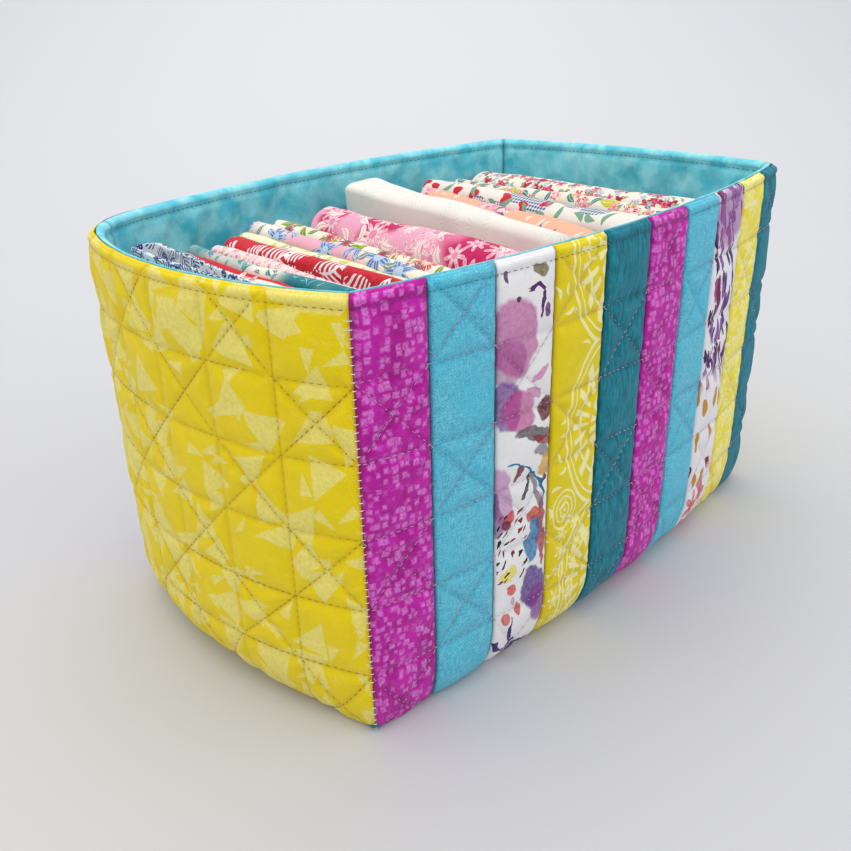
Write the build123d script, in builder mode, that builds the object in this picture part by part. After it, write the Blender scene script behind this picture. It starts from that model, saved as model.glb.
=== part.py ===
"""A quilted patchwork sewing basket, packed with folded fabrics.

Millimetres. +Z is up, X runs along the long sides, and the patchwork front faces -Y.
The origin is on the underside, at the middle of the outline's box.
"""
from build123d import *
import os
from math import asin, sin, sqrt

os.makedirs("parts", exist_ok=True)

# ------------------------------------------------------------------ driving dimensions
UNIT = 25.4                 # finished width of a patchwork strip and of a quilting square
STRIPS = 10                 # strips along each long side
ROWS = 6                    # quilting squares up each wall
HEIGHT = ROWS * UNIT
FRONT_BOW = 14.0            # how far the middle of each wall stands out past its corner seams
FAR_BOW = 8.0
BACK_BOW = 16.5
NEAR_BOW = 18.0

# corner seams in plan, before the basket is centred; soft walls make a slightly uneven figure
NEAR_CORNER = (-125.5, -75.5)
RIGHT_CORNER = (127.0, -78.0)
FAR_CORNER = (128.0, 78.0)
LEFT_CORNER = (-122.0, 75.0)

# corner radii of the outer face; two opposite corners keep a sharp seam
SHARP_RADIUS = 1.2
RIGHT_RADIUS = 14.0
LEFT_RADIUS = 45.0
LEAST_RADIUS = 0.4

# the wall is three layers: outer cotton, wadding, lining cotton
SKIN = 0.8
WADDING = 3.2
WALL = 2 * SKIN + WADDING
RIM_MEET = SKIN + WADDING / 2           # where outer cotton and lining meet on the rim

# underside: the walls tuck in below the lowest quilting line
TUCK_HEIGHT = UNIT
TUCK_STEPS = (0.09, 0.25, 0.52)          # heights between its ends, as fractions of it
CONTACT_BOW = 2.0           # the outline that touches the table is nearly straight
CONTACT_INSET = 2.5         # and its corners stand this far inside the corner seams

# sewing threads, as raised lines
THREAD_RISE = 0.3
THREAD_WIDTH = 0.6
RIM_STITCH_DROP = 3.8       # topstitching sits this far below the rim
SEAM_STITCH_WIDTH = 2.4
QUILT_TOP_GAP = 6.0
QUILT_BOTTOM_GAP = 3.0
QUILT_END_GAP = 7.0         # quilting stops short of the corner seams
QUILT_BACK_LEFT_GAP = 17.0  # and further from the strongly rounded left corner
QUILT_NEAR_LEFT_GAP = 30.0
THREAD_FLOOR_GAP = UNIT / 8              # no thread is worked lower than this

# blocks used only to cut with reach well past the basket
CUTTER_SPAN = 16 * UNIT
CUTTER_OVERRUN = 5.0        # above and below
WEDGE_REACH_IN = 60.0       # along each diagonal, from its corner towards the middle
WEDGE_REACH_OUT = 45.0

# folded fabrics: (near face X, its slope, far face X, its slope, right end Y, left end Y, top Z)
# The two faces are straight lines in plan: X is where the line crosses Y = 0, slope is dX/dY.
FABRICS = (
    (-119.5, 0.03, -108.5, 0.09, -46.0, 50.0, 143.0),
    (-106.8, 0.06, -100.6, 0.02, -66.0, 18.0, 143.0),
    (-99.9, 0.02, -93.5, 0.03, -72.0, 47.0, 141.0),
    (-93.0, 0.03, -86.0, 0.03, -74.0, 51.0, 142.0),
    (-85.5, 0.03, -78.0, 0.05, -74.0, 47.0, 140.5),
    (-77.5, 0.05, -68.5, 0.10, -74.0, 50.0, 143.0),
    (-68.0, 0.10, -58.0, 0.12, -74.0, 60.0, 140.0),
    (-57.5, 0.12, -48.5, 0.13, -75.0, 69.0, 141.0),
    (-48.0, 0.13, -38.0, 0.12, -75.0, 66.0, 140.5),
    (-36.5, 0.12, -12.0, 0.11, -75.0, 52.0, 145.0),
    (-5.0, 0.20, 14.0, 0.34, -72.0, 73.0, 148.5),
    (23.0, 0.33, 46.0, 0.24, -75.0, 57.0, 142.0),
    (52.0, 0.13, 71.0, 0.05, -74.0, 73.0, 141.0),
    (71.6, 0.045, 82.5, 0.03, -74.0, 64.0, 141.5),
    (87.0, 0.06, 111.0, 0.11, -72.0, 69.0, 141.0),
)
FABRIC_TOP_ROUND = 0.80     # top edge radius as a share of half the thinner end's thickness
FABRIC_END_ROUND = 0.60     # upright edge radius, the same way
FABRIC_FLOOR_GAP = 0.4


# ------------------------------------------------------------------ shared shapes
def tuck(z):
    """0 at the underside, rising to 1 where the tucked-in part of the wall ends."""
    share = min(z / TUCK_HEIGHT, 1.0)
    return sqrt(1 - (1 - share) ** 2)


def outline(z, inset, middle):
    """Face of the basket's plan at height z, moved inward by inset and centred on middle."""
    rise = tuck(z)
    corner_inset = inset + CONTACT_INSET * (1 - rise)
    places = []
    for (x, y), (inward_x, inward_y) in zip(SEAM_CORNERS, INWARD):
        places.append((x - middle[0] + corner_inset * inward_x, y - middle[1] + corner_inset * inward_y))
    with BuildSketch(Plane.XY.offset(z)) as plan:
        with BuildLine():
            for step, (bow, outward) in enumerate(zip(BOWS, OUTWARD)):
                start = places[step]
                end = places[(step + 1) % 4]
                reach = CONTACT_BOW + (bow - CONTACT_BOW) * rise
                through = ((start[0] + end[0]) / 2 + reach * outward[0],
                           (start[1] + end[1]) / 2 + reach * outward[1])
                ThreePointArc(start, through, end)
        make_face()
        for (x, y), radius in zip(places, RADII):
            corner = plan.vertices().sort_by_distance((x, y, z))[0]
            fillet(corner, radius=max(radius - inset, LEAST_RADIUS))
    return plan.sketch


# the four corners in turn, from the near one, with the wall that follows each
SEAM_CORNERS = (NEAR_CORNER, RIGHT_CORNER, FAR_CORNER, LEFT_CORNER)
INWARD = ((1, 1), (-1, 1), (-1, -1), (1, -1))
BOWS = (FRONT_BOW, FAR_BOW, BACK_BOW, NEAR_BOW)
OUTWARD = ((0, -1), (1, 0), (0, 1), (-1, 0))
RADII = (SHARP_RADIUS, RIGHT_RADIUS, SHARP_RADIUS, LEFT_RADIUS)
MIDDLE = outline(HEIGHT, 0.0, (0.0, 0.0)).bounding_box().center()
CORNERS = [(x - MIDDLE.X, y - MIDDLE.Y) for x, y in SEAM_CORNERS]
WALL_NAMES = ("front", "far_end", "back", "near_end")


def whole(inset):
    """The basket as a filled block, inset mm inside its outer face, over its full height."""
    with BuildPart(mode=Mode.PRIVATE) as block:
        for share in (0.0,) + TUCK_STEPS + (1.0,):
            add(outline(share * TUCK_HEIGHT, inset, (MIDDLE.X, MIDDLE.Y)))
        loft(ruled=True)
        add(outline(TUCK_HEIGHT, inset, (MIDDLE.X, MIDDLE.Y)))
        extrude(amount=HEIGHT - TUCK_HEIGHT)
    return block.part


FACES = (-THREAD_RISE, 0.0, SKIN, RIM_MEET, SKIN + WADDING, WALL, WALL + THREAD_RISE)
blocks = {inset: whole(inset) for inset in FACES}


def filled(inset, low, high):
    """The part of a filled block that lies between two heights."""
    with BuildPart(mode=Mode.PRIVATE) as slice_of_block:
        add(blocks[inset])
        with BuildSketch(Plane.XY.offset(low)):
            Rectangle(CUTTER_SPAN, CUTTER_SPAN)
        extrude(amount=high - low, mode=Mode.INTERSECT)
    return slice_of_block.part


def wedge(wall):
    """Tall block that holds one wall and ends on the diagonal planes of its corner seams."""
    corners = (CORNERS[wall], CORNERS[(wall + 1) % 4])
    diagonals = (INWARD[wall], INWARD[(wall + 1) % 4])
    outer = []
    inner = []
    for (x, y), (dx, dy) in zip(corners, diagonals):
        outer.append((x - WEDGE_REACH_OUT * dx, y - WEDGE_REACH_OUT * dy))
        inner.append((x + WEDGE_REACH_IN * dx, y + WEDGE_REACH_IN * dy))
    with BuildPart(mode=Mode.PRIVATE) as block:
        with BuildSketch(Plane.XY.offset(-CUTTER_OVERRUN)):
            with BuildLine():
                Polyline(outer[0], outer[1], inner[1], inner[0], close=True)
            make_face()
        extrude(amount=HEIGHT + 2 * CUTTER_OVERRUN)
    return block.part


def seam_places(start, end, bow, count):
    """Places along a bowed wall that share its length into count equal strips."""
    half_chord = abs(end - start) / 2
    radius = (half_chord ** 2 + bow ** 2) / (2 * bow)
    half_angle = asin(half_chord / radius)
    centre = (start + end) / 2
    return [centre + radius * sin(half_angle * (2 * step / count - 1)) for step in range(count + 1)]


def save(piece, name):
    """Label a finished piece and write it as its own file."""
    piece.part.label = name
    export_step(piece.part, f"parts/{name}.step")
    print(name, "solids", len(piece.part.solids()), "volume", round(piece.part.volume / 1000, 2))


# ------------------------------------------------------------------ layers of the basket
outer_block = filled(0.0, 0.0, HEIGHT)
under_skin = filled(SKIN, 0.0, HEIGHT - SKIN)
rim_core = filled(RIM_MEET, HEIGHT - SKIN, HEIGHT)
wadding_block = filled(SKIN, SKIN, HEIGHT - SKIN)
lining_block = filled(SKIN + WADDING, SKIN + WADDING, HEIGHT - SKIN)
hollow = filled(WALL, WALL, HEIGHT)
floor_wadding_block = filled(SKIN + WADDING, SKIN, SKIN + WADDING)
floor_lining_block = filled(WALL, SKIN + WADDING, WALL)
floor_skin_block = filled(SKIN, 0.0, SKIN)

with BuildPart() as outer_cotton:
    add(outer_block)
    add(under_skin, mode=Mode.SUBTRACT)
    add(rim_core, mode=Mode.SUBTRACT)

with BuildPart() as wadding_ring:
    add(wadding_block)
    add(filled(SKIN + WADDING, SKIN, HEIGHT - SKIN), mode=Mode.SUBTRACT)

with BuildPart() as lining_ring:
    add(lining_block)
    add(rim_core)
    add(hollow, mode=Mode.SUBTRACT)
    add(floor_lining_block, mode=Mode.SUBTRACT)

wedges = dict(zip(WALL_NAMES, [wedge(wall) for wall in range(4)]))

# one printed panel on each short end
for name in ("near_end", "far_end"):
    with BuildPart() as end_panel:
        add(outer_cotton.part)
        add(wedges[name], mode=Mode.INTERSECT)
    save(end_panel, f"{name}_panel")

# ten patchwork strips on each long side, numbered from the near end
for name, bow, first, last in (("front", FRONT_BOW, 0, 1), ("back", BACK_BOW, 3, 2)):
    seams = seam_places(CORNERS[first][0], CORNERS[last][0], bow, STRIPS)
    seams[0] -= 2 * UNIT
    seams[-1] += 2 * UNIT
    with BuildPart() as long_side:
        add(outer_cotton.part)
        add(wedges[name], mode=Mode.INTERSECT)
    for number in range(1, STRIPS + 1):
        low_seam = seams[number - 1]
        high_seam = seams[number]
        with BuildPart() as strip:
            add(long_side.part)
            with BuildSketch(Plane.XY.offset(-CUTTER_OVERRUN)):
                with Locations(((low_seam + high_seam) / 2, 0)):
                    Rectangle(high_seam - low_seam, CUTTER_SPAN)
            extrude(amount=HEIGHT + 2 * CUTTER_OVERRUN, mode=Mode.INTERSECT)
        save(strip, f"{name}_strip_{number:02d}")

# wadding and lining, one piece to each wall
for name in WALL_NAMES:
    with BuildPart() as wall_wadding:
        add(wadding_ring.part)
        add(wedges[name], mode=Mode.INTERSECT)
    save(wall_wadding, f"{name}_wadding")
    with BuildPart() as wall_lining:
        add(lining_ring.part)
        add(wedges[name], mode=Mode.INTERSECT)
    save(wall_lining, f"{name}_lining")

# the floor: teal base outside, wadding, lining inside
for block, name in ((floor_skin_block, "base_panel"), (floor_wadding_block, "base_wadding"),
                    (floor_lining_block, "base_lining")):
    with BuildPart() as floor_layer:
        add(block)
    save(floor_layer, name)

# ------------------------------------------------------------------ sewing threads
with BuildPart() as outer_film:
    add(filled(-THREAD_RISE, THREAD_FLOOR_GAP, HEIGHT))
    add(outer_block, mode=Mode.SUBTRACT)

stitch_low = HEIGHT - RIM_STITCH_DROP - THREAD_WIDTH / 2
stitch_high = stitch_low + THREAD_WIDTH
with BuildPart() as rim_topstitch:
    add(filled(-THREAD_RISE, stitch_low, stitch_high))
    add(filled(0.0, stitch_low, stitch_high), mode=Mode.SUBTRACT)
    add(filled(WALL, stitch_low, stitch_high))
    add(filled(WALL + THREAD_RISE, stitch_low, stitch_high), mode=Mode.SUBTRACT)
save(rim_topstitch, "rim_topstitch")


with BuildPart() as corner_stitches:
    add(outer_film.part)
    with BuildSketch(Plane.XY.offset(QUILT_BOTTOM_GAP)):
        for (x, y), (inward_x, inward_y) in zip(CORNERS, INWARD):
            with Locations((x, y)):
                Rectangle(2 * LEFT_RADIUS, SEAM_STITCH_WIDTH, rotation=45 * inward_x * inward_y)
    extrude(amount=HEIGHT - QUILT_TOP_GAP - QUILT_BOTTOM_GAP, mode=Mode.INTERSECT)
save(corner_stitches, "corner_stitches")


def quilting_cutter(squares, start, end, start_gap, end_gap):
    """Thin upright plates: level lines each unit, and crosses in alternate squares."""
    middle = (start + end) / 2
    pitch = (end - start) / squares
    quilted = end - start - start_gap - end_gap
    mid_height = (HEIGHT - QUILT_TOP_GAP + QUILT_BOTTOM_GAP) / 2
    with BuildPart(mode=Mode.PRIVATE) as plates:
        with BuildSketch(Plane.XZ.offset(-CUTTER_SPAN / 2)):
            for row in range(1, ROWS):
                with Locations((middle, row * UNIT)):
                    Rectangle(end - start, THREAD_WIDTH)
            for step in range(-1, squares + 2, 2):
                with Locations((start + step * pitch, HEIGHT / 2)):
                    Rectangle(THREAD_WIDTH, 2 * HEIGHT, rotation=-45)
            for step in range(-2, squares + 3, 2):
                with Locations((start + step * pitch, HEIGHT / 2)):
                    Rectangle(THREAD_WIDTH, 2 * HEIGHT, rotation=45)
            with Locations((start + start_gap + quilted / 2, mid_height)):
                Rectangle(quilted, HEIGHT - QUILT_TOP_GAP - QUILT_BOTTOM_GAP, mode=Mode.INTERSECT)
        extrude(amount=CUTTER_SPAN)
    return plates.part


(near_x, near_y), (right_x, right_y), (far_x, far_y), (left_x, left_y) = CORNERS
front_cutter = quilting_cutter(STRIPS, near_x, right_x, QUILT_END_GAP, QUILT_END_GAP)
back_cutter = quilting_cutter(STRIPS, left_x, far_x, QUILT_BACK_LEFT_GAP, QUILT_END_GAP)
near_cutter = quilting_cutter(ROWS, near_y, left_y, QUILT_END_GAP, QUILT_NEAR_LEFT_GAP).rotate(Axis.Z, 90)
far_cutter = quilting_cutter(ROWS, right_y, far_y, QUILT_END_GAP, QUILT_END_GAP).rotate(Axis.Z, 90)
for name, cutter in zip(WALL_NAMES, (front_cutter, far_cutter, back_cutter, near_cutter)):
    with BuildPart() as quilting:
        add(outer_film.part)
        add(wedges[name], mode=Mode.INTERSECT)
        add(cutter, mode=Mode.INTERSECT)
    save(quilting, f"{name}_quilting")

# ------------------------------------------------------------------ folded fabrics
fabric_bottom = WALL + FABRIC_FLOOR_GAP
for number, (near_x, near_slope, far_x, far_slope, right_y, left_y, top) in enumerate(FABRICS, 1):
    thickness = min(far_x - near_x + (far_slope - near_slope) * y for y in (right_y, left_y))
    with BuildPart() as folded_fabric:
        with BuildSketch(Plane.XY.offset(fabric_bottom)):
            with BuildLine():
                Polyline(
                    (near_x + near_slope * right_y, right_y),
                    (far_x + far_slope * right_y, right_y),
                    (far_x + far_slope * left_y, left_y),
                    (near_x + near_slope * left_y, left_y),
                    close=True,
                )
            make_face()
        extrude(amount=top - fabric_bottom)
        fillet(folded_fabric.edges().filter_by(Axis.Z), radius=FABRIC_END_ROUND * thickness / 2)
        rim_edges = folded_fabric.faces().sort_by(Axis.Z)[-1].edges()
        fillet(rim_edges, radius=FABRIC_TOP_ROUND * thickness / 2)
    save(folded_fabric, f"fabric_{number:02d}")
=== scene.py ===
"""Looks of the quilted sewing basket: pieced cotton walls, lining, threads and folded fabrics."""
import math

import bpy
import numpy as np
from mathutils import Matrix, Vector


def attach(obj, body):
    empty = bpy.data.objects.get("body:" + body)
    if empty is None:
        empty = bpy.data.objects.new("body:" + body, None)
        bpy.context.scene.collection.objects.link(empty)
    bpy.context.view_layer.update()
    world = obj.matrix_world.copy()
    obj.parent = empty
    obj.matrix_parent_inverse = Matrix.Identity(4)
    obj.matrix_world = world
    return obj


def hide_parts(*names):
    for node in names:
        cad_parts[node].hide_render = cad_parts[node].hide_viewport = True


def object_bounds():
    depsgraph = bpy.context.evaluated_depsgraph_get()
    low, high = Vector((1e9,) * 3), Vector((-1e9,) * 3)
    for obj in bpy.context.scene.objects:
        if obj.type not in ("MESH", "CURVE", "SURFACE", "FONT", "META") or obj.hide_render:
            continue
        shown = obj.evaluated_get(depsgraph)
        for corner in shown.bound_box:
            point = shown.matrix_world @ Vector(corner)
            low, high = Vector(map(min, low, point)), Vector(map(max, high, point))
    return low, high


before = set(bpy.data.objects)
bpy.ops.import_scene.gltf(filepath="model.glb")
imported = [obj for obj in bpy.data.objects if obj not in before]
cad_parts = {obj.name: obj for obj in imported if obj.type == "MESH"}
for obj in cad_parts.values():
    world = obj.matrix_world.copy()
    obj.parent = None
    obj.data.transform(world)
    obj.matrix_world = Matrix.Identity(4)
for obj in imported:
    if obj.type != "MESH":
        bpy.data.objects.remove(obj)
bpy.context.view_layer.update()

MM = 0.001
UNIT = 0.0254                # finished strip width and quilting square
ROWS = 6
STRIPS = 10
HEIGHT = ROWS * UNIT
BASKET = "basket"

scene = bpy.context.scene
scene.view_settings.view_transform = "Standard"
scene.view_settings.look = "None"

# ---------------------------------------------------------------- camera, light, stage
CAMERA_AT = Vector((-0.2757, -0.2517, 0.2220))
CAMERA_RIGHT = Vector((0.7068, -0.7066, -0.0386))
CAMERA_UP = Vector((0.3317, 0.2825, 0.9003))
camera_data = bpy.data.cameras.new("camera")
camera = bpy.data.objects.new("camera", camera_data)
scene.collection.objects.link(camera)
back = CAMERA_RIGHT.cross(CAMERA_UP).normalized()
up = back.cross(CAMERA_RIGHT).normalized()
right = up.cross(back)
camera.matrix_world = Matrix.Translation(CAMERA_AT) @ Matrix((right, up, back)).transposed().to_4x4()
camera_data.lens = 38.52
camera_data.sensor_width = 36.0
camera_data.shift_x = 0.0346
camera_data.shift_y = 0.0173
camera_data.clip_start = 0.01
camera_data.clip_end = 20.0
camera_data.dof.use_dof = False
scene.camera = camera


def srgb(r, g, b):
    """Linear colour from the usual 0 to 255 numbers."""
    out = []
    for c in (r, g, b):
        c = c / 255
        out.append(c / 12.92 if c <= 0.04045 else ((c + 0.055) / 1.055) ** 2.4)
    return (out[0], out[1], out[2], 1.0)


# ---------------------------------------------------------------- shader graph helper
class Socket:
    """A number in a node graph, with arithmetic that adds Math nodes."""

    def __init__(self, graph, socket):
        self.graph = graph
        self.socket = socket

    def wrap(self, low, high):
        return self.graph.math("WRAP", self, high, low)

    def ramp(self, low, high):
        """0 below low and 1 above high, smooth between."""
        node = self.graph.node("ShaderNodeMapRange")
        node.interpolation_type = "SMOOTHSTEP"
        self.graph.feed(node.inputs["Value"], self)
        node.inputs["From Min"].default_value = low
        node.inputs["From Max"].default_value = high
        return Socket(self.graph, node.outputs["Result"])


def math_method(kind, flipped=False):
    """A method that adds one Math node; flipped puts the socket last."""
    def method(self, *others):
        values = (*others, self) if flipped else (self, *others)
        return self.graph.math(kind, *values)
    return method


METHODS = {
    "__add__": "ADD", "__radd__": "ADD", "__sub__": "SUBTRACT", "__mul__": "MULTIPLY",
    "__rmul__": "MULTIPLY", "__truediv__": "DIVIDE", "abs": "ABSOLUTE", "sin": "SINE", "cos": "COSINE",
    "less": "LESS_THAN", "more": "GREATER_THAN", "max": "MAXIMUM", "power": "POWER",
}
for method, kind in METHODS.items():
    setattr(Socket, method, math_method(kind))
Socket.__rsub__ = math_method("SUBTRACT", flipped=True)


class Graph:
    """Node graph of one material, in millimetres on the cloth's own U and V."""

    def __init__(self, name):
        self.material = bpy.data.materials.new(name)
        self.material.use_nodes = True
        self.tree = self.material.node_tree
        self.tree.nodes.clear()
        self.out = self.node("ShaderNodeOutputMaterial")
        uv = self.node("ShaderNodeUVMap")
        uv.uv_map = "cloth"
        split = self.node("ShaderNodeSeparateXYZ")
        self.tree.links.new(uv.outputs["UV"], split.inputs[0])
        self.u = Socket(self, split.outputs[0]) * 1000.0
        self.v = Socket(self, split.outputs[1]) * 1000.0
        self.place = self.vector(self.u, self.v, 0.0)

    def node(self, kind):
        return self.tree.nodes.new(kind)

    def feed(self, socket, value):
        if isinstance(value, Socket):
            self.tree.links.new(value.socket, socket)
        else:
            socket.default_value = value

    def math(self, kind, *values):
        node = self.node("ShaderNodeMath")
        node.operation = kind
        for socket, value in zip(node.inputs, values):
            self.feed(socket, value)
        return Socket(self, node.outputs[0])

    def vector(self, x, y, z=0.0):
        node = self.node("ShaderNodeCombineXYZ")
        for socket, value in zip(node.inputs, (x, y, z)):
            self.feed(socket, value)
        return Socket(self, node.outputs[0])

    def split(self, vector):
        node = self.node("ShaderNodeSeparateXYZ")
        self.feed(node.inputs[0], vector)
        return [Socket(self, out) for out in node.outputs]

    def mix(self, share, a, b, blend="MIX"):
        node = self.node("ShaderNodeMix")
        node.data_type = "RGBA"
        node.blend_type = blend
        self.feed(node.inputs["Factor"], share)
        self.feed(node.inputs[6], a)
        self.feed(node.inputs[7], b)
        return Socket(self, node.outputs[2])

    def noise(self, place, size, detail=2.0, roughness=0.5):
        """Noise from 0 to 1 with features about size mm across."""
        node = self.node("ShaderNodeTexNoise")
        self.feed(node.inputs["Vector"], place)
        node.inputs["Scale"].default_value = 1.0 / size
        node.inputs["Detail"].default_value = detail
        node.inputs["Roughness"].default_value = roughness
        return Socket(self, node.outputs[0])

    def shifted(self, place, size, reach):
        """The place moved about by noise, for hand-drawn edges."""
        node = self.node("ShaderNodeTexNoise")
        self.feed(node.inputs["Vector"], place)
        node.inputs["Scale"].default_value = 1.0 / size
        node.inputs["Detail"].default_value = 2.0
        x, y, z = self.split(Socket(self, node.outputs[1]))
        px, py, pz = self.split(place)
        return self.vector(px + (x - 0.5) * reach, py + (y - 0.5) * reach, 0.0)

    def cells(self, place, size, seed, spread=1.0, metric="EUCLIDEAN"):
        """Scattered cells: place within the cell in cell widths, and three random numbers."""
        x, y, z = self.split(place)
        x = x / size + (seed * 7.31 + 3.0)
        y = y / size + (seed * 3.77 + 5.0)
        node = self.node("ShaderNodeTexVoronoi")
        node.voronoi_dimensions = "2D"
        node.distance = metric
        node.inputs["Scale"].default_value = 1.0
        node.inputs["Randomness"].default_value = spread
        self.feed(node.inputs["Vector"], self.vector(x, y))
        cx, cy, cz = self.split(Socket(self, node.outputs["Position"]))
        r1, r2, r3 = self.split(Socket(self, node.outputs["Color"]))
        return x - cx, y - cy, (r1, r2, r3)

    def turned(self, x, y, turn):
        """Polar angle and turned coordinates; turn is in whole turns."""
        c = (turn * math.tau).cos() if isinstance(turn, Socket) else math.cos(turn * math.tau)
        s = (turn * math.tau).sin() if isinstance(turn, Socket) else math.sin(turn * math.tau)
        return x * c + y * s, y * c - x * s

    def flowers(self, place, size, seed, petals, reach=0.42, depth=0.3, share=1.0, spread=0.8):
        """Masks of flowers: whole flower, its eye, and line work between the petals."""
        x, y, (r1, r2, r3) = self.cells(place, size, seed, spread)
        angle = self.math("ARCTAN2", y, x) + r1 * math.tau
        radius = (x * x + y * y).power(0.5)
        edge = (angle * float(petals)).cos() * depth + (1.0 - depth)
        chosen = r2.less(share)
        scale = (r3 * 0.35 + 0.75) * reach
        flower = radius.less(edge * scale) * chosen
        eye = radius.less(scale * 0.28) * chosen
        lines = ((angle * float(petals) * 0.5).sin().abs()).less(0.16) * flower
        ring = (radius - edge * scale * 0.8).abs().less(0.035) * chosen
        return flower, eye, lines.max(ring)

    def leaves(self, place, size, seed, long=0.46, wide=0.17, share=1.0, spread=0.9):
        """Masks of leaves: blade and midrib."""
        x, y, (r1, r2, r3) = self.cells(place, size, seed, spread)
        a, b = self.turned(x, y, r1)
        bend = b + a * a * 0.9 - 0.05
        blade = bend.abs().less((1.0 - (a / long) * (a / long)) * wide) * r2.less(share)
        rib = bend.abs().less(0.018) * a.abs().less(long * 0.8) * r2.less(share)
        return blade, rib

    def blob(self, place, at, size, turn=0.0, soft=0.04):
        """One filled oval shape at a place of its own."""
        x, y, z = self.split(place)
        a, b = self.turned(x - at[0], y - at[1], turn)
        a = a / size[0]
        b = b / size[1]
        return 1.0 - (a * a + b * b).power(0.5).ramp(1.0 - soft, 1.0 + soft)

    def stroke(self, place, at, radius, width, low, high):
        """An arc stroke, from angle low to high in whole turns."""
        x, y, z = self.split(place)
        x = x - at[0]
        y = y - at[1]
        angle = self.math("ARCTAN2", y, x) / math.tau
        ring = ((x * x + y * y).power(0.5) - radius).abs().less(width / 2)
        middle = (low + high) / 2
        off = (angle - middle).wrap(-0.5, 0.5).abs()
        return ring * off.less((high - low) / 2)

    def finish(self, colour, weave=0.5, rough=0.88, sheen=0.12, depth=0.06, painted_crease_shade=0.55):
        """Cotton: printed colour, woven relief, painted shade in the stitched creases and faint wear."""
        threads = (self.u * (math.tau / weave)).sin() * (self.v * (math.tau / weave)).sin()
        twill = ((self.u + self.v) * (math.tau / weave * 0.5)).sin()
        grain = self.noise(self.place, weave * 1.2, 2.0, 0.7)
        tone = self.noise(self.place, 16.0, 3.0, 0.6)
        tint = grain * 0.20 + threads * 0.03 + tone * 0.10 + 0.80
        # painted shade: the crease attribute marks stitched lines, seams and corner ends, and the colour
        # and tint are darkened there
        shade = self.node("ShaderNodeAttribute")
        shade.attribute_name = "painted_crease_shade"
        groove = Socket(self, shade.outputs["Fac"])
        deeper = self.mix(1.0, colour, colour, "MULTIPLY")
        colour = self.mix(groove * painted_crease_shade, colour, deeper)
        tint = tint * (1.0 - groove * painted_crease_shade * 0.22)
        colour = self.mix(1.0, colour, self.vector(tint, tint, tint), "MULTIPLY")
        worn = self.noise(self.place, 3.0, 4.0, 0.7).ramp(0.52, 0.78) * (1.0 - groove)
        colour = self.mix(worn * 0.07, colour, (1.0, 1.0, 1.0, 1.0))
        relief = threads * 0.4 + twill * 0.3 + grain * 0.9
        bump = self.node("ShaderNodeBump")
        bump.inputs["Strength"].default_value = 0.55
        bump.inputs["Distance"].default_value = depth * MM * 4
        self.feed(bump.inputs["Height"], relief)
        shader = self.node("ShaderNodeBsdfPrincipled")
        self.feed(shader.inputs["Base Color"], colour)
        self.feed(shader.inputs["Roughness"], grain * 0.12 + (rough - 0.06))
        shader.inputs["Sheen Weight"].default_value = sheen
        shader.inputs["Sheen Roughness"].default_value = 0.5
        shader.inputs["Specular IOR Level"].default_value = 0.22
        self.tree.links.new(bump.outputs[0], shader.inputs["Normal"])
        self.tree.links.new(shader.outputs[0], self.out.inputs[0])
        return self.material


# ---------------------------------------------------------------- prints of the basket
def yellow_shards():
    g = Graph("yellow_shard_print")
    x, y, (r1, r2, r3) = g.cells(g.place, 15.0, 1, 1.0)
    a, b = g.turned(x, y, r1)
    cut = (a * 0.8 + b.abs() * 1.7).less(r3 * 0.25 + 0.26) * a.more(-0.4)
    shards = cut * r2.less(0.8)
    x, y, (r1, r2, r3) = g.cells(g.place, 10.0, 9, 1.0)
    a, b = g.turned(x, y, r1)
    slivers = (a * 0.7 + b.abs() * 2.6).less(0.3) * a.more(-0.38) * r2.less(0.55)
    pale = shards.max(slivers)
    x, y, (r1, r2, r3) = g.cells(g.place, 17.0, 4, 1.0, "MANHATTAN")
    blocks = r2.less(0.05)
    pale = pale.max(blocks)
    flecks = g.noise(g.place, 1.5, 3.0).ramp(0.25, 0.75)
    base = g.mix(g.noise(g.place, 5.0, 3.0), srgb(236, 208, 0), srgb(246, 222, 4))
    light = g.mix(flecks, srgb(246, 232, 132), srgb(236, 220, 92))
    return g.finish(g.mix(pale, base, light), weave=0.55)


def magenta_blocks():
    g = Graph("magenta_mottle")
    place = g.shifted(g.place, 1.8, 1.3)
    x, y, (r1, r2, r3) = g.cells(place, 2.9, 2, 0.75, "CHEBYCHEV")
    size = r3 * 0.22 + 0.20
    block = x.abs().max(y.abs() * 0.9)
    light = (1.0 - (block - size).ramp(-0.16, 0.12)) * r2.ramp(0.0, 0.4)
    soft = g.noise(g.place, 1.1, 3.0, 0.7)
    wash = g.noise(g.place, 9.0, 2.0)
    base = g.mix(wash.ramp(0.3, 0.7), srgb(176, 4, 142), srgb(206, 30, 176))
    pale = g.mix(soft, srgb(226, 110, 214), srgb(240, 160, 234))
    return g.finish(g.mix(light * soft.ramp(0.2, 0.65) * 0.85, base, pale), weave=0.5)


def aqua_linen():
    g = Graph("aqua_linen")
    run = g.noise(g.vector(g.u * 0.5, g.v * 3.0), 1.5, 3.0, 0.75).ramp(0.25, 0.75)
    cross = g.noise(g.vector(g.u * 3.0, g.v * 0.5), 1.5, 3.0, 0.75).ramp(0.25, 0.75)
    wash = g.noise(g.place, 20.0, 2.0)
    base = g.mix((run + cross) * 0.5, srgb(10, 150, 192), srgb(140, 232, 246))
    base = g.mix(wash.ramp(0.35, 0.7) * 0.4, base, srgb(60, 200, 228))
    return g.finish(base, weave=0.6, depth=0.09)


def teal_brushed():
    g = Graph("teal_brushed")
    brush = g.noise(g.vector(g.u * 2.2, g.v * 0.35), 2.6, 4.0, 0.65)
    wash = g.noise(g.place, 12.0, 2.0)
    base = g.mix(brush.ramp(0.3, 0.7), srgb(0, 92, 112), srgb(0, 146, 164))
    base = g.mix(wash.ramp(0.4, 0.7) * 0.5, base, srgb(0, 120, 142))
    return g.finish(base, weave=0.5)


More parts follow.
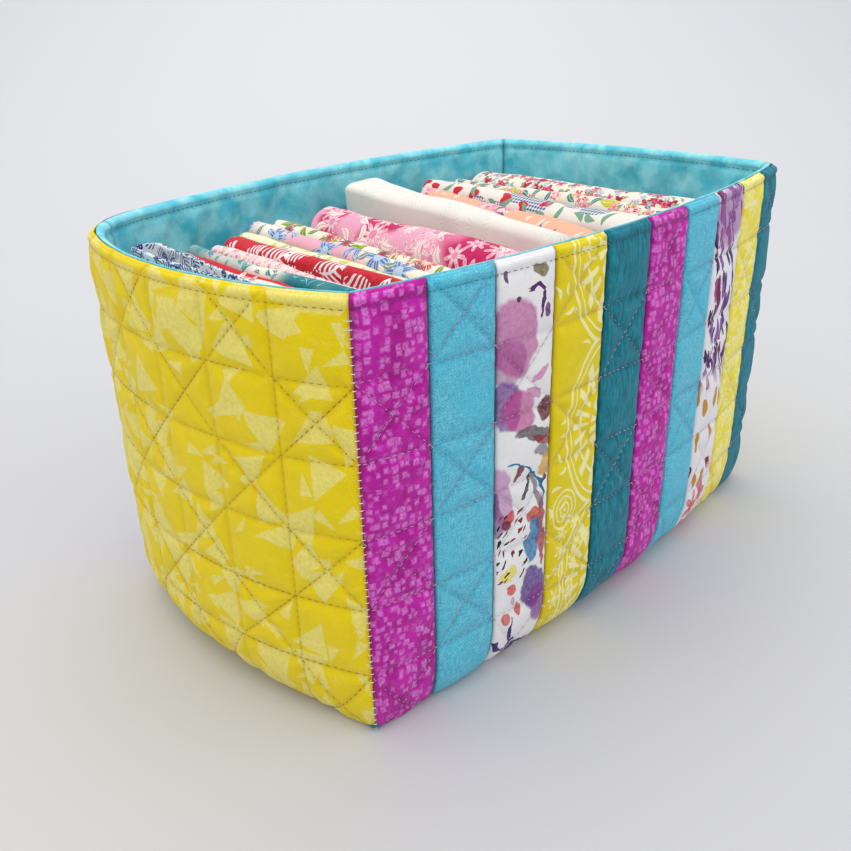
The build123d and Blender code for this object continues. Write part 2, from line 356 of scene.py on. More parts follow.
def lemon_bloom():
    g = Graph("lemon_bloom")
    flower, eye, lines = g.flowers(g.place, 13.0, 6, 5, 0.45, 0.35, 0.9)
    x, y, (r1, r2, r3) = g.cells(g.place, 6.5, 3, 0.9)
    radius = (x * x + y * y).power(0.5)
    loops = (radius - 0.26).abs().less(0.05)
    soft = g.noise(g.place, 6.0, 3.0)
    base = g.mix(soft.ramp(0.35, 0.65), srgb(250, 228, 34), srgb(252, 240, 110))
    base = g.mix((lines * 0.8).max(loops * 0.55), base, srgb(255, 250, 205))
    return g.finish(g.mix(flower * 0.25, base, srgb(255, 248, 180)), weave=0.5)


def yellow_floral():
    g = Graph("yellow_line_floral")
    cream = srgb(252, 244, 176)
    place = g.shifted(g.place, 3.0, 0.7)
    x, y, z = g.split(place)
    rise = (y - 86.0).wrap(-31.0, 31.0)
    # medallions: nested leaf-shaped outlines whose middle is off the right seam
    wide = x - 27.0
    radius = (wide * wide * 1.25 + rise * rise * 0.42).power(0.5)
    rings = (radius - 21.0).abs().less(0.55).max((radius - 18.6).abs().less(0.3))
    rings = rings.max((radius - 13.2).abs().less(0.45))
    angle = g.math("ARCTAN2", rise, wide)
    rays = (angle * 17.0).sin().ramp(0.15, 0.5) * radius.less(17.0) * radius.more(9.0)
    heart = radius.less(7.5) * ((angle * 9.0).cos().more(-0.1))
    shape = rings.max(rays).max(heart)
    # a small ogee with nested outlines, and flower heads between the medallions
    low = (y - 57.0)
    drop = ((x - 8.0) * (x - 8.0) * 1.5 + low * low * 0.8).power(0.5)
    nested = (drop.wrap(0.0, 2.2)).less(0.75) * drop.less(7.4)
    shape = shape.max(nested)
    heads, eyes, lines = g.flowers(place, 9.0, 5, 6, 0.40, 0.3, 0.85, 0.6)
    below = y.less(52.0)
    shape = shape.max((lines.max(eyes)) * below)
    blade, rib = g.leaves(place, 6.5, 8, 0.4, 0.1, 0.6)
    shape = shape.max(blade * radius.more(22.5) * y.more(52.0))
    stems = (x - 12.0 - (y * 0.16).sin() * 5.0).abs().less(0.3) * below
    shape = shape.max(stems)
    base = g.mix(g.noise(g.place, 4.0, 3.0), srgb(232, 206, 0), srgb(242, 222, 18))
    return g.finish(g.mix(shape, base, cream), weave=0.5)


# ovals of the watercolour print: place, size, turn, colour, strength, in mm up from the bottom
SPLASHES = (
    ((7.5, 127.0), (9.5, 13.0), 0.03, (202, 104, 168), 0.85),
    ((5.0, 120.0), (7.0, 8.0), 0.0, (168, 62, 146), 0.6),
    ((4.5, 105.0), (6.5, 9.0), 0.05, (122, 52, 150), 0.85),
    ((9.5, 102.0), (6.5, 8.5), 0.1, (196, 70, 150), 0.8),
    ((19.0, 113.0), (3.6, 1.6), 0.12, (214, 120, 180), 0.8),
    ((16.5, 106.5), (4.4, 2.0), -0.1, (190, 80, 150), 0.7),
    ((22.0, 99.0), (3.4, 3.0), 0.12, (110, 20, 34), 0.95),
    ((17.0, 92.0), (9.5, 2.3), -0.04, (92, 78, 88), 0.9),
    ((20.5, 89.0), (6.0, 1.4), -0.07, (150, 34, 40), 0.9),
    ((21.0, 84.5), (5.5, 2.6), -0.08, (122, 112, 118), 0.8),
    ((3.0, 72.0), (4.2, 13.0), 0.02, (196, 130, 186), 0.75),
    ((1.0, 66.0), (2.6, 9.0), 0.02, (132, 66, 140), 0.7),
    ((18.6, 71.0), (1.4, 9.0), 0.04, (118, 112, 116), 0.85),
    ((10.5, 79.5), (1.5, 3.6), -0.08, (124, 24, 34), 0.95),
    ((12.5, 72.5), (0.8, 3.4), -0.08, (40, 34, 40), 0.95),
    ((15.0, 76.0), (0.8, 2.8), -0.08, (50, 30, 34), 0.95),
    ((22.3, 73.5), (0.9, 3.0), -0.04, (70, 20, 44), 0.95),
    ((22.0, 54.0), (1.9, 14.0), 0.01, (176, 52, 50), 0.92),
    ((17.6, 52.0), (3.6, 9.0), -0.04, (0, 120, 172), 0.9),
    ((17.5, 61.5), (3.0, 2.6), 0.0, (214, 70, 30), 0.9),
    ((22.5, 79.0), (2.4, 4.0), 0.0, (230, 172, 30), 0.85),
    ((6.0, 63.5), (2.4, 2.2), 0.1, (210, 50, 28), 0.85),
    ((5.0, 61.0), (1.6, 2.6), 0.1, (110, 18, 40), 0.9),
    ((5.5, 42.0), (3.6, 3.0), 0.1, (244, 226, 60), 0.85),
    ((18.5, 32.0), (5.4, 9.5), 0.03, (92, 42, 142), 0.92),
    ((21.0, 25.0), (4.0, 7.5), 0.05, (140, 50, 150), 0.85),
    ((7.0, 34.5), (2.4, 2.4), 0.0, (220, 62, 24), 0.9),
    ((11.5, 26.5), (1.6, 2.4), 0.05, (216, 66, 30), 0.9),
    ((8.6, 29.5), (1.3, 1.6), 0.0, (206, 130, 200), 0.7),
    ((5.5, 24.0), (1.6, 1.8), 0.0, (214, 60, 30), 0.85),
    ((11.0, 6.0), (2.0, 9.0), -0.1, (126, 24, 34), 0.92),
    ((20.0, 11.0), (3.0, 1.4), -0.1, (150, 60, 110), 0.7),
    ((3.5, 146.8), (1.1, 1.9), 0.05, (96, 24, 108), 0.95),
    ((8.5, 139.3), (0.95, 0.95), 0.0, (66, 18, 78), 0.98),
    ((21.8, 133.0), (1.5, 3.0), 0.0, (112, 26, 120), 0.95),
    ((18.5, 148.6), (3.6, 1.7), 0.0, (120, 104, 30), 0.9),
)


def white_splash():
    g = Graph("white_splash_print")
    place = g.shifted(g.shifted(g.place, 9.0, 7.0), 1.6, 1.3)
    stain = g.noise(g.place, 1.6, 5.0, 0.8).ramp(0.2, 0.8)
    shadow = g.noise(g.place, 14.0, 2.0).ramp(0.5, 0.8) * 0.25
    colour = g.mix(shadow, srgb(246, 244, 244), srgb(224, 224, 232))
    for at, size, turn, tone, strength in SPLASHES:
        mask = g.blob(place, at, size, turn, 0.10)
        colour = g.mix(mask * strength * (stain * 0.35 + 0.78), colour, srgb(*tone))
    purple = srgb(92, 24, 106)
    hook = g.stroke(place, (15.6, 141.2), 2.9, 1.9, 0.0, 0.5)
    colour = g.mix(hook, colour, purple)
    colour = g.mix(g.blob(place, (18.6, 136.2), (1.1, 5.2), 0.0), colour, purple)
    curve = g.stroke(place, (5.0, 66.0), 17.4, 0.95, -0.02, 0.25)
    colour = g.mix(curve, colour, srgb(20, 118, 160))
    # slanted small dashes in a band, black and rust
    x, y, (r1, r2, r3) = g.cells(place, 3.6, 3, 0.7)
    a, b = g.turned(x, y, 0.13)
    dash = (a * a * 5.5 + b * b * 60.0).less(1.0)
    gx, gy, gz = g.split(g.place)
    band = gy.more(38.0) * gy.less(66.0) * gx.less(14.5) * gx.more(1.0)
    dash_ink = g.mix(r3.more(0.6), srgb(34, 30, 34), srgb(150, 30, 30))
    colour = g.mix(dash * band * r2.less(0.85), colour, dash_ink)
    ink = srgb(66, 30, 120)
    colour = g.mix(g.stroke(place, (7.0, 19.0), 6.0, 1.5, -0.45, -0.12), colour, ink)
    colour = g.mix(g.blob(place, (8.4, 18.0), (0.8, 6.0), 0.0), colour, ink)
    colour = g.mix(g.blob(place, (14.0, 10.5), (4.6, 2.0), 0.06), colour, ink)
    return g.finish(colour, weave=0.45)


def white_splash_dense():
    g = Graph("white_splash_print_dense")
    place = g.shifted(g.vector(g.u * 1.0, g.v * 0.45), 1.6, 1.4)
    x, y, z = g.split(g.place)
    high = y.ramp(66.0, 84.0)
    colour = srgb(244, 240, 244)
    for size, seed, tone, share in ((5.0, 1, (150, 84, 168), 0.55), (4.0, 4, (78, 34, 104), 0.5),
                                    (3.6, 7, (60, 40, 84), 0.35), (4.6, 9, (128, 26, 62), 0.18)):
        dx, dy, (r1, r2, r3) = g.cells(place, size, seed, 0.9)
        a, b = g.turned(dx, dy, 0.04)
        mark = (a * a * 14.0 + b * b * 3.0).less(r3 * 0.7 + 0.5) * r2.less(share) * high
        colour = g.mix(mark, colour, srgb(*tone))
    lilac = g.blob(g.place, (12.0, 142.0), (13.0, 12.0), 0.0, 0.2)
    colour = g.mix(lilac * 0.7, colour, srgb(168, 96, 170))
    for size, seed, tone, share in ((8.0, 2, (206, 150, 30), 0.5), (6.5, 5, (150, 20, 40), 0.4)):
        blade, rib = g.leaves(place, size, seed, 0.34, 0.22, share)
        colour = g.mix(blade * (1.0 - high), colour, srgb(*tone))
    low = 1.0 - y.ramp(22.0, 34.0)
    petals, eye, lines = g.flowers(g.place, 11.0, 3, 5, 0.48, 0.3, 0.9)
    colour = g.mix(petals * low, colour, srgb(206, 88, 104))
    colour = g.mix(lines * low, colour, srgb(240, 160, 160))
    return g.finish(colour, weave=0.45)


def lining_cotton():
    g = Graph("lining_aqua")
    wash = g.noise(g.shifted(g.place, 14.0, 10.0), 15.0, 4.0, 0.6)
    cloud = g.noise(g.place, 5.0, 4.0, 0.7)
    base = g.mix(wash.ramp(0.34, 0.66), srgb(70, 200, 222), srgb(164, 242, 250))
    base = g.mix(cloud.ramp(0.35, 0.7) * 0.45, base, srgb(104, 214, 230))
    return g.finish(base, weave=0.5, painted_crease_shade=0.55)


def thread(name, a, b, other=None):
    """Twisted cotton; stitches whose U is past a metre take the other tone."""
    g = Graph(name)
    x, y, z = g.split(g.place)
    twist = ((x * 4.0 + y * 2.0) * 4.0).sin().ramp(-0.6, 0.6)
    fuzz = g.noise(g.place, 0.3, 3.0, 0.7)
    colour = g.mix((twist + fuzz) * 0.5, srgb(*a), srgb(*b))
    if other:
        colour = g.mix(x.more(1000.0), colour, srgb(*other))
    return g.finish(colour, weave=0.25, rough=0.6)


def wadding_cotton():
    g = Graph("wadding")
    fluff = g.noise(g.place, 0.9, 5.0, 0.8)
    return g.finish(g.mix(fluff, srgb(226, 222, 210), srgb(246, 244, 236)), weave=1.1, rough=0.95)


# ---------------------------------------------------------------- prints of the folded fabrics
def leaf_print(name, ground, leaf, vein, dots, size=11.0, seed=1):
    """Overlapping striped leaves on a plain ground, with dotted fruits."""
    g = Graph(name)
    place = g.shifted(g.place, 4.0, 0.8)
    colour = srgb(*ground)
    x, y, (r1, r2, r3) = g.cells(place, size, seed, 0.75)
    a, b = g.turned(x, y, r1)
    bend = b + a * a * 0.8 - 0.06
    blade = bend.abs().less((1.0 - a * a * 3.4) * 0.42)
    stripes = (a * 38.0 + bend.abs() * 26.0).sin().more(0.1)
    colour = g.mix(blade * (stripes.max(bend.abs().less(0.035))), colour, srgb(*leaf))
    fx, fy, (q1, q2, q3) = g.cells(place, size * 0.85, seed + 11, 0.8)
    fruit = (fx * fx + fy * fy).less(0.055) * q2.less(0.6)
    colour = g.mix(fruit, colour, srgb(*dots))
    px, py, spare = g.cells(place, size * 0.13, seed + 5, 0.3)
    spots = (px * px + py * py).less(0.05) * fruit
    colour = g.mix(spots, colour, srgb(*vein))
    return g.finish(colour, weave=0.42)


def floral_print(name, ground, layers, size=9.0, seed=2, ground_b=None, wash=25.0):
    """Scattered flowers and leaves: layers of (kind, scale, colour, line colour, share)."""
    g = Graph(name)
    colour = srgb(*ground)
    if ground_b:
        colour = g.mix(g.noise(g.place, wash, 1.0).ramp(0.44, 0.56), colour, srgb(*ground_b))
    place = g.shifted(g.place, 2.5, 0.5)
    for step, (kind, scale, tone, line, share) in enumerate(layers):
        if kind == "leaf":
            shape, marks = g.leaves(place, size * scale, seed + step * 3, 0.42, 0.15, share)
            eye = None
        else:
            shape, eye, marks = g.flowers(place, size * scale, seed + step * 3, kind, 0.46, 0.28,
                                          share)
        colour = g.mix(shape, colour, srgb(*tone))
        colour = g.mix(marks, colour, srgb(*line))
        if eye is not None:
            colour = g.mix(eye, colour, srgb(*line))
    return g.finish(colour, weave=0.42)


def gingham_hearts():
    g = Graph("fabric_gingham_hearts")
    colour = srgb(240, 232, 222)
    checks = (g.u * (math.tau / 1.7)).sin().more(0.0) * 0.5 + (g.v * (math.tau / 1.7)).sin().more(0.0) * 0.5
    x, y, (r1, r2, r3) = g.cells(g.place, 15.0, 4, 0.7)
    bird = (x * x * 3.4 + y * y * 9.0).less(0.9) * r2.less(0.75)
    colour = g.mix(bird, colour, g.mix(checks, srgb(232, 236, 240), srgb(44, 72, 120)))
    x, y, (r1, r2, r3) = g.cells(g.place, 12.0, 8, 0.8)
    a, b = g.turned(x, y, r1)
    heart = (a * a * 7.0 + (b - a.abs() * 0.6) * (b - a.abs() * 0.6) * 14.0).less(0.5) * r2.less(0.6)
    colour = g.mix(heart, colour, srgb(206, 22, 44))
    blade, rib = g.leaves(g.place, 10.0, 3, 0.4, 0.13, 0.7)
    colour = g.mix(blade, colour, srgb(120, 166, 140))
    return g.finish(colour, weave=0.42)


def plain_cream():
    g = Graph("fabric_plain_cream")
    colour = g.mix(g.noise(g.place, 22.0, 3.0), srgb(240, 234, 222), srgb(248, 243, 234))
    x, y, (r1, r2, r3) = g.cells(g.shifted(g.place, 3.0, 1.0), 30.0, 5, 0.8)
    angle = g.math("ARCTAN2", y, x)
    rays = (angle * 9.0).sin().abs().less(0.16) * (x * x + y * y).less(0.045)
    colour = g.mix(rays * 0.6, colour, srgb(176, 180, 160))
    return g.finish(colour, weave=0.42)


MATERIALS = {
    "yellow_shard_print": yellow_shards(),
    "magenta_mottle": magenta_blocks(),
    "aqua_linen": aqua_linen(),
    "white_splash_print": white_splash(),
    "white_splash_dense": white_splash_dense(),
    "yellow_line_floral": yellow_floral(),
    "teal_brushed": teal_brushed(),
    "lemon_bloom": lemon_bloom(),
    "lining_aqua": lining_cotton(),
    "wadding": wadding_cotton(),
    "thread_tan": thread("thread_tan", (150, 112, 22), (186, 150, 50), (88, 96, 112)),
    "thread_pale": thread("thread_pale", (178, 146, 178), (222, 200, 220), (250, 248, 242)),
    "fabric_blue_leaf": leaf_print("fabric_blue_leaf", (238, 242, 244), (34, 86, 146), (240, 244, 250),
                                   (22, 70, 128), 8.5, 3),
    "fabric_cream_red": floral_print("fabric_cream_red", (244, 238, 226), (
        ("leaf", 1.1, (150, 206, 206), (120, 186, 190), 0.5),
        (6, 1.3, (224, 34, 46), (248, 210, 200), 0.35)), 12.0, 5, (214, 22, 40), 48.0),
    "fabric_red": floral_print("fabric_red", (214, 18, 38), (
        (5, 1.0, (240, 120, 40), (250, 236, 226), 0.4),
        ("leaf", 0.9, (250, 240, 232), (240, 120, 60), 0.4)), 15.0, 8),
    "fabric_teal_leaf": floral_print("fabric_teal_leaf", (246, 238, 220), (
        ("leaf", 0.7, (20, 138, 148), (150, 210, 206), 0.9),
        ("leaf", 0.5, (24, 150, 160), (240, 236, 220), 0.7)), 9.0, 4, (22, 132, 142), 60.0),
    "fabric_pink_small": floral_print("fabric_pink_small", (250, 226, 222), (
        (5, 0.35, (232, 120, 140), (250, 226, 222), 0.8),
        ("leaf", 0.3, (226, 96, 120), (250, 226, 222), 0.5)), 9.0, 7),
    "fabric_red_leaf": leaf_print("fabric_red_leaf", (206, 10, 36), (252, 236, 238), (252, 240, 240),
                                  (200, 6, 32), 16.0, 6),
    "fabric_lime_floral": floral_print("fabric_lime_floral", (240, 240, 200), (
        ("leaf", 0.6, (206, 214, 60), (236, 240, 180), 0.7),
        (5, 0.5, (36, 140, 140), (240, 240, 210), 0.3),
        (5, 0.45, (232, 130, 90), (240, 236, 190), 0.3)), 12.0, 2),
    "fabric_cream_blue": floral_print("fabric_cream_blue", (250, 240, 224), (
        (7, 1.1, (84, 122, 184), (190, 208, 234), 0.8),
        ("leaf", 0.5, (120, 150, 150), (240, 230, 214), 0.4)), 16.0, 9, (244, 178, 198), 40.0),
    "fabric_green_leaf": floral_print("fabric_green_leaf", (248, 240, 222), (
        ("leaf", 1.0, (134, 160, 22), (206, 214, 120), 1.0),
        ("leaf", 0.8, (112, 142, 20), (206, 214, 120), 0.9),
        (12, 1.9, (206, 28, 34), (246, 210, 190), 0.5),
        (14, 0.9, (40, 150, 158), (206, 28, 34), 0.4)), 10.0, 3),
    "fabric_pink_bloom": floral_print("fabric_pink_bloom", (244, 168, 196), (
        (9, 1.0, (246, 232, 220), (236, 140, 176), 1.0),
        (7, 0.8, (248, 236, 224), (240, 150, 184), 0.7),
        ("leaf", 0.6, (248, 236, 224), (240, 150, 184), 0.6)), 17.0, 6, (204, 14, 96), 26.0),
    "fabric_plain_cream": plain_cream(),
    "fabric_peach": floral_print("fabric_peach", (246, 182, 150), (
        (6, 0.9, (226, 60, 140), (250, 200, 214), 0.5),
        ("leaf", 0.5, (90, 96, 116), (160, 150, 150), 0.45),
        ("leaf", 0.35, (244, 236, 220), (170, 90, 60), 0.4)), 16.0, 4),
    "fabric_gingham_hearts": gingham_hearts(),
    "fabric_patch_print": floral_print("fabric_patch_print", (238, 234, 214), (
        ("leaf", 1.0, (206, 196, 50), (230, 224, 150), 0.7),
        (5, 0.8, (206, 40, 56), (248, 220, 214), 0.4),
        ("leaf", 0.6, (60, 130, 130), (200, 220, 210), 0.6),
        (5, 0.6, (246, 206, 196), (232, 130, 130), 0.5)), 13.0, 5),
    "fabric_red_bows": floral_print("fabric_red_bows", (244, 234, 218), (
        (4, 0.8, (206, 30, 76), (160, 10, 50), 0.75),
        (5, 0.55, (236, 120, 150), (206, 40, 90), 0.6),
        ("leaf", 0.4, (130, 160, 110), (200, 214, 180), 0.7),
        (6, 0.4, (120, 140, 170), (220, 224, 230), 0.4)), 11.0, 7),
}

# ---------------------------------------------------------------- plan of the basket
# the same outline as the CAD: corner seams, bow of each wall and corner radii, in metres
SEAM_CORNERS = np.array([(-125.5, -75.5), (127.0, -78.0), (128.0, 78.0), (-122.0, 75.0)]) * MM
INWARD = np.array([(1, 1), (-1, 1), (-1, -1), (1, -1)], float)
OUTWARD = np.array([(0, -1), (1, 0), (0, 1), (-1, 0)], float)
BOWS = np.array([14.0, 8.0, 16.5, 18.0]) * MM
RADII = np.array([1.2, 14.0, 1.2, 45.0]) * MM
CONTACT_BOW = 2.0 * MM
CONTACT_INSET = 2.5 * MM
WALLS = {"front": 0, "far_end": 1, "back": 2, "near_end": 3}
COUNTS = {"front": STRIPS, "far_end": ROWS, "back": STRIPS, "near_end": ROWS}


def circle_through(a, m, b):
    """Centre and radius of the circle through three points."""
    rows = np.array([2 * (m - a), 2 * (b - a)])
    side = np.array([m @ m - a @ a, b @ b - a @ a])
    centre = np.linalg.solve(rows, side)
    return centre, np.linalg.norm(a - centre)


def plan(inset, rise):
    """Places of the four walls at one height: a function of the share along each wall."""
    corners = SEAM_CORNERS + INWARD * (inset + CONTACT_INSET * (1 - rise))
    arcs = []
    for i in range(4):
        a, b = corners[i], corners[(i + 1) % 4]
        reach = CONTACT_BOW + (BOWS[i] - CONTACT_BOW) * rise
        arcs.append(circle_through(a, (a + b) / 2 + OUTWARD[i] * reach, b))
    fillets = []
    for i in range(4):
        (c1, r1), (c2, r2) = arcs[i - 1], arcs[i]
        radius = max(RADII[i] - inset, 0.0004)
        p1, p2 = r1 - radius, r2 - radius
        gap = c2 - c1
        dist = np.linalg.norm(gap)
        along = (p1 ** 2 - p2 ** 2 + dist ** 2) / (2 * dist)
        off = math.sqrt(max(p1 ** 2 - along ** 2, 0.0))
        foot = c1 + gap / dist * along
        side = np.array([-gap[1], gap[0]]) / dist * off
        centre = min((foot + side, foot - side), key=lambda p: np.linalg.norm(p - corners[i]))
        fillets.append((centre, radius))

    def wall(i, share):
        (centre, radius) = arcs[i]
        a, b = corners[i], corners[(i + 1) % 4]
        start = math.atan2(*(a - centre)[::-1])
        sweep = (math.atan2(*(b - centre)[::-1]) - start + math.pi) % math.tau - math.pi
        ends = []
        for j in (i, (i + 1) % 4):
            f, fr = fillets[j]
            ends.append((f, fr, math.atan2(*(f - centre)[::-1])))
        shares = [((e[2] - start + math.pi) % math.tau - math.pi) / sweep for e in ends]
        theta = start + share * sweep
        points = centre + radius * np.stack([np.cos(theta), np.sin(theta)], -1)
        for (f, fr, tangent), edge, near in ((ends[0], shares[0], True), (ends[1], shares[1], False)):
            other = arcs[i - 1] if near else arcs[(i + 1) % 4]
            far_tangent = math.atan2(*(f - other[0])[::-1])
            turn = (far_tangent - tangent + math.pi) % math.tau - math.pi
            middle = tangent + turn / 2
            inside = share < edge if near else share > edge
            if inside.any() and abs(edge - (0 if near else 1)) > 1e-6:
                local = (share[inside] / edge) if near else (1 - share[inside]) / (1 - edge)
                angle = middle + local * (tangent - middle)
                points[inside] = f + fr * np.stack([np.cos(angle), np.sin(angle)], -1)
        return points

    return wall


full_plan = plan(0.0, 1.0)
ring = np.concatenate([full_plan(i, np.linspace(0, 1, 200)) for i in range(4)])
MIDDLE = (ring.min(0) + ring.max(0)) / 2


def waves(seed, count, low, high):
    """Smooth noise of two variables made of a few sine waves, from about -1 to 1."""
    random = np.random.default_rng(seed)
    angle = random.uniform(0, math.tau, count)
    size = random.uniform(low, high, count)
    phase = random.uniform(0, math.tau, count)

    def field(x, y):
        total = np.zeros(np.broadcast(x, y).shape)
        for a, s, p in zip(angle, size, phase):
            total += np.sin((x * math.cos(a) + y * math.sin(a)) * math.tau / s + p)
        return total / math.sqrt(count) / 1.2

    return field


LUMPS = waves(3, 7, 0.018, 0.05)
PUCKERS = waves(5, 9, 0.0028, 0.0060)
DRIFT = waves(8, 5, 0.05, 0.12)
WRINKLES = waves(12, 8, 0.012, 0.045)

RIM_STITCH = HEIGHT - 3.8 * MM
GRID = 0.9 * MM              # spacing of the points on the outer cotton
WALL = 4.8 * MM              # outer cotton, wadding and lining together
LINING_INSET = 4.9 * MM      # from the outer face to the lining's inner face
RIM_ROUND = 2.2 * MM
LINING_ROUND = 2.4 * MM
LINING_RISE = 0.25 * MM
FLOOR_GAP = 0.45 * MM
PUFF_RISE = 1.55 * MM        # height and reach of the quilt's puff away from a stitched line
PUFF_REACH = 2.9 * MM
LUMP_RISE = 0.30 * MM
PUCKER_RISE = 0.16 * MM
SEAM_DIP = 0.25 * MM
DRIFT_REACH = 0.45 * MM
WRINKLE_RISE = 1.1 * MM


class Wall:
    """One wall as fields over (u, v): u runs along the cloth and v up it, both in metres."""

    def __init__(self, name):
        self.name = name
        self.index = WALLS[name]
        self.count = COUNTS[name]
        self.length = self.count * UNIT
        self.shift = self.index // 2        # crosses are counted from the wall's low-coordinate corner
        self.cols = int(self.length / GRID) + 1
        self.rows = int(HEIGHT / GRID) + 1
        self.us = np.linspace(0, self.length, self.cols)
        self.vs = np.linspace(0, HEIGHT, self.rows)
        outer = self.block(0.0)
        deeper = self.block(2.0 * MM)
        self.place = outer
        self.inward = (deeper - outer) / (2.0 * MM)
        across = np.gradient(outer, self.us, axis=1)
        upward = np.gradient(outer, self.vs, axis=0)
        normal = np.cross(across, upward)
        self.normal = normal / np.maximum(np.linalg.norm(normal, axis=-1, keepdims=True), 1e-12)

    def block(self, inset):
        share = self.us / self.length
        out = np.zeros((self.rows, self.cols, 3))
        straight = None
        for r, v in enumerate(self.vs):
            if v >= UNIT:
                if straight is None:
                    straight = plan(inset, 1.0)(self.index, share)
                xy, z = straight, v
            else:
                turn = math.pi / 2 * v / UNIT
                xy = plan(inset, max(math.sin(turn), 0.02))(self.index, share)
                z = UNIT * (1 - math.cos(turn))
            out[r, :, :2] = xy - MIDDLE
            out[r, :, 2] = z
        return out

    def sample(self, field, u, v):
        """Bilinear reading of a field."""
        x = np.clip(u / self.length * (self.cols - 1), 0, self.cols - 1 - 1e-9)
        y = np.clip(v / HEIGHT * (self.rows - 1), 0, self.rows - 1 - 1e-9)
        i, j = x.astype(int), y.astype(int)
        fx, fy = (x - i)[..., None], (y - j)[..., None]
        return ((field[j, i] * (1 - fx) + field[j, i + 1] * fx) * (1 - fy)
                + (field[j + 1, i] * (1 - fx) + field[j + 1, i + 1] * fx) * fy)

    def drifted(self, u, v):
        """Quilting lines are sewn by hand and eye, so they wander a little."""
        step = self.index * 0.31
        return (u + DRIFT(u + step, v) * DRIFT_REACH, v + DRIFT(v + step, u) * DRIFT_REACH)

    def nearest_line(self, u, v):
        """Distance to the nearest seam or quilting line."""
        du, dv = self.drifted(u, v)
        p, q = du / UNIT + self.shift, dv / UNIT
        level = np.abs(q - np.clip(np.round(q), 1, ROWS - 1))
        upright = np.abs(u / UNIT - np.round(u / UNIT))
        rising = np.abs((p - q + 1) % 2 - 1) / math.sqrt(2)
        falling = np.abs((p + q) % 2 - 1) / math.sqrt(2)
        rim = np.abs(v - RIM_STITCH) / UNIT
        nearest = np.minimum.reduce([level, upright, rising, falling, rim])
        return nearest * UNIT

    def puff(self, u, v):
        """How far the cloth stands out between its stitched lines."""
        d = self.nearest_line(u, v)
        rise = PUFF_RISE * (1 - np.exp(-d / PUFF_REACH))
        rise += LUMP_RISE * LUMPS(u + self.index, v) * np.clip(d / (5 * MM), 0, 1)
        rise += PUCKER_RISE * PUCKERS(u + self.index, v) * np.exp(-((d - 1.2 * MM) / (1.6 * MM)) ** 2)
        # flatter towards the rim, the foot and the corner seams
        rise *= 0.35 + 0.65 * np.clip((HEIGHT - v) / (4 * MM), 0, 1)
        rise *= 0.55 + 0.45 * np.clip(v / UNIT, 0, 1)
        ends = np.minimum(u, self.length - u)
        return rise * (0.5 + 0.5 * np.clip(ends / (3 * MM), 0, 1)) - SEAM_DIP

    def outer(self, u, v, lift=0.0):
        """Place on the puffed outer face, in from the rim by its rounding."""
        uc, vc = np.clip(u, 0, self.length), np.clip(v, 0, HEIGHT)
        base = self.sample(self.place, uc, vc)
        normal = self.sample(self.normal, uc, vc)
        inward = self.sample(self.inward, uc, vc)
        point = base + normal * (self.puff(uc, vc) + lift)[..., None]
        above = np.clip(vc - (HEIGHT - RIM_ROUND), 0, RIM_ROUND) / RIM_ROUND
        turned_in = RIM_ROUND * (1 - np.sqrt(np.clip(1 - above ** 2, 0, 1)))
        point = point + inward * turned_in[..., None]
        point[..., 2] = np.maximum(point[..., 2], FLOOR_GAP)
        return point

    def inner(self, u, v):
        """Place on the lining's inner face."""
        uc, vc = np.clip(u, 0, self.length), np.clip(v, 0, HEIGHT)
        base = self.sample(self.place, uc, vc)
        inward = self.sample(self.inward, uc, vc)
        ends = np.minimum(uc, self.length - uc)
        slack = WRINKLE_RISE * WRINKLES(uc * 1.6 + self.index, vc * 0.5)
        slack = slack + 0.35 * MM * LUMPS(uc, vc + self.index)
        # held at the corner seams and at the rim, and never down to the wadding
        held = np.clip(ends / (14 * MM), 0.15, 1) * np.clip((HEIGHT - vc) / (9 * MM), 0.08, 1)
        slack = np.maximum(slack * held, -WRINKLE_RISE)
        groove = -0.8 * MM * np.exp(-((vc - RIM_STITCH) / (1.0 * MM)) ** 2)
        inset = LINING_INSET + slack + groove
        top = HEIGHT + LINING_RISE
        above = np.clip(vc - (HEIGHT - LINING_ROUND), 0, LINING_ROUND) / LINING_ROUND
        inset = inset - LINING_ROUND * (1 - np.sqrt(np.clip(1 - above ** 2, 0, 1)))
        point = base + inward * inset[..., None]
        point[..., 2] += above * (top - HEIGHT)
        point[..., 2] = np.maximum(point[..., 2], WALL)
        return point


walls = {name: Wall(name) for name in WALLS}


# ---------------------------------------------------------------- mesh helpers
def grid_faces(rows, cols, flip=False):
    a = (np.arange(rows - 1)[:, None] * cols + np.arange(cols - 1)[None, :]).ravel()
    quads = np.stack([a, a + 1, a + cols + 1, a + cols], 1)
    return quads[:, ::-1] if flip else quads


def make_object(name, points, faces, uv, painted_crease_shade, material):
    mesh = bpy.data.meshes.new(name)
    mesh.from_pydata(points.reshape(-1, 3).tolist(), [], [list(map(int, f)) for f in faces])
    layer = mesh.uv_layers.new(name="cloth")
    index = np.zeros(len(mesh.loops), np.int32)
    mesh.loops.foreach_get("vertex_index", index)
    layer.data.foreach_set("uv", uv.reshape(-1, 2)[index].astype(np.float32).ravel())
    # the crease attribute holds painted shade, read by the cotton shader
    layer = mesh.attributes.new("painted_crease_shade", "FLOAT", "POINT")
    values = np.zeros(len(mesh.vertices)) if painted_crease_shade is None else painted_crease_shade.ravel()
    layer.data.foreach_set("value", values.astype(np.float32))
    mesh.polygons.foreach_set("use_smooth", [True] * len(mesh.polygons))
    mesh.materials.append(MATERIALS[material])
    mesh.update()
    obj = bpy.data.objects.new(name, mesh)
    scene.collection.objects.link(obj)
    return obj


def thicken(obj, thickness, offset=-1.0):
    solid = obj.modifiers.new("thickness", "SOLIDIFY")
    solid.thickness = thickness
    solid.offset = offset
    solid.use_even_offset = False
    return obj


def belongs(obj, node, body=BASKET):
    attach(obj, body)
    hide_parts(node)
    return obj


